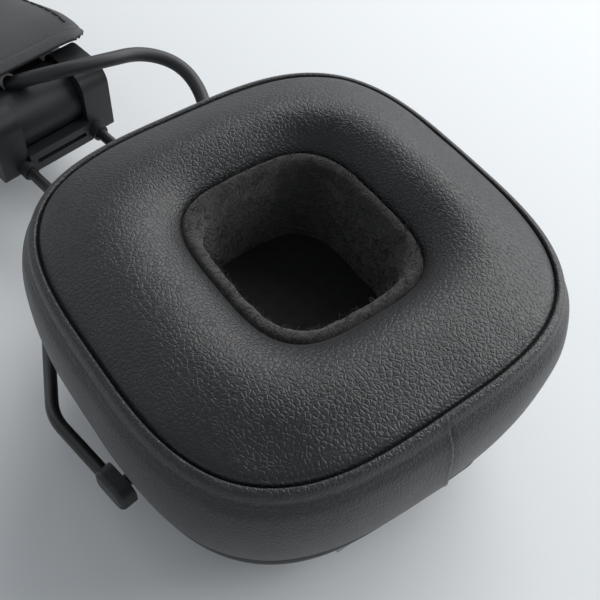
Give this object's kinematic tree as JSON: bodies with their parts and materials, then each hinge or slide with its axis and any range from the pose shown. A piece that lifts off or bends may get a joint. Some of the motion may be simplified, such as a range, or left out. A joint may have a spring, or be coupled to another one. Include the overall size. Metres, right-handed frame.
{
  "type": "wireless on-ear headphones",
  "caption": "Folding wireless on-ear headphones with square padded cups held in wire yokes, a padded band and a lead looping over each hinge.",
  "frame": {"origin": "middle of the right cup's outer face, which lies on the table", "axes": "+Z from the right cup's outer face into its cushion, towards the left cup; +X from the band to the cups, along the sliders; +Y across the band's width"},
  "size_m": [0.2048, 0.069, 0.156],
  "materials": {
    "pad_leather": "soft pebbled grain",
    "band_leather": "smooth soft leather",
    "shell": "fine matte",
    "wire": "matte black paint",
    "steel": "brushed",
    "rubber": "matte",
    "felt": "felted",
    "cloth": "woven",
    "foam": "open foam",
    "inner": "moulded",
    "board": "solder mask",
    "magnet": "plated",
    "cell": "foil"
  },
  "bodies": {
    "headband": {"band_inner_pad": "band_leather", "band_outer_cover": "band_leather", "band_steel": "steel", "right_band_end": "shell", "right_cord": "rubber", "right_cord_relief_band": "rubber", "left_band_end": "shell", "left_cord": "rubber", "left_cord_relief_band": "rubber"},
    "right_bracket": {"right_hinge_bracket": "shell", "right_hinge_pin": "steel", "right_wire_collar_front": "rubber", "right_wire_collar_rear": "rubber"},
    "right_yoke": {"right_yoke_wire_front": "wire", "right_yoke_wire_rear": "wire", "right_pivot_block_front": "shell", "right_pivot_block_rear": "shell"},
    "right_swivel": {"right_swivel_bar": "steel"},
    "right_cup": {"right_outer_cap": "shell", "right_cup_housing": "shell", "right_baffle": "inner", "right_baffle_screw_back": "steel", "right_baffle_screw_hinge": "steel", "right_driver_frame": "inner", "right_driver_magnet": "magnet", "right_driver_diaphragm": "inner", "right_driver_cloth": "cloth", "right_pad_ring": "inner", "right_pad_foam": "foam", "right_ear_pad": "pad_leather", "right_pad_lining": "felt", "right_cord_grommet": "rubber", "right_battery": "cell", "right_circuit_board": "board", "right_charging_port": "steel"},
    "left_bracket": {"left_hinge_bracket": "shell", "left_hinge_pin": "steel", "left_wire_collar_front": "rubber", "left_wire_collar_rear": "rubber"},
    "left_yoke": {"left_yoke_wire_front": "wire", "left_yoke_wire_rear": "wire", "left_pivot_block_front": "shell", "left_pivot_block_rear": "shell"},
    "left_swivel": {"left_swivel_bar": "steel"},
    "left_cup": {"left_outer_cap": "shell", "left_cup_housing": "shell", "left_baffle": "inner", "left_baffle_screw_back": "steel", "left_baffle_screw_hinge": "steel", "left_driver_frame": "inner", "left_driver_magnet": "magnet", "left_driver_diaphragm": "inner", "left_driver_cloth": "cloth", "left_pad_ring": "inner", "left_pad_foam": "foam", "left_ear_pad": "pad_leather", "left_pad_lining": "felt", "left_cord_grommet": "rubber"},
    "right_control": {"right_button": "shell"}
  },
  "joints": [
    {"name": "right_fold", "type": "hinge", "parent": "headband", "child": "right_bracket", "pos_m": [-0.0663, 0, 0.016], "axis": [0, -1, 0], "range_deg": [0, 115], "deforming": ["right_cord"]},
    {"name": "right_length", "type": "slide", "parent": "right_bracket", "child": "right_yoke", "axis": [-1, 0, 0], "range_m": [0, 0.008], "deforming": ["right_cord"]},
    {"name": "right_tilt", "type": "hinge", "parent": "right_yoke", "child": "right_swivel", "pos_m": [0, 0, 0.0106], "axis": [0, 1, 0], "range_deg": [-7, 7], "deforming": ["right_cord"]},
    {"name": "right_swivel_turn", "type": "hinge", "parent": "right_swivel", "child": "right_cup", "pos_m": [0, 0, 0.0106], "axis": [0, 0, 1], "range_deg": [0, 16], "deforming": ["right_cord"]},
    {"name": "right_button_press", "type": "slide", "parent": "right_cup", "child": "right_control", "axis": [-0.9903, 0.1392, 0], "range_m": [0, 0.0006], "stiffness_N_per_m": 800},
    {"name": "left_fold", "type": "hinge", "parent": "headband", "child": "left_bracket", "pos_m": [-0.0663, 0, 0.14], "axis": [0, -1, 0], "range_deg": [-115, 0], "deforming": ["left_cord"]},
    {"name": "left_length", "type": "slide", "parent": "left_bracket", "child": "left_yoke", "axis": [1, 0, 0], "range_m": [-0.008, 0], "deforming": ["left_cord"]},
    {"name": "left_tilt", "type": "hinge", "parent": "left_yoke", "child": "left_swivel", "pos_m": [0, 0, 0.1454], "axis": [0, 1, 0], "range_deg": [-7, 7], "deforming": ["left_cord"]},
    {"name": "left_swivel_turn", "type": "hinge", "parent": "left_swivel", "child": "left_cup", "pos_m": [0, 0, 0.1454], "axis": [0, 0, 1], "range_deg": [-8, 8], "deforming": ["left_cord"]}
  ]
}
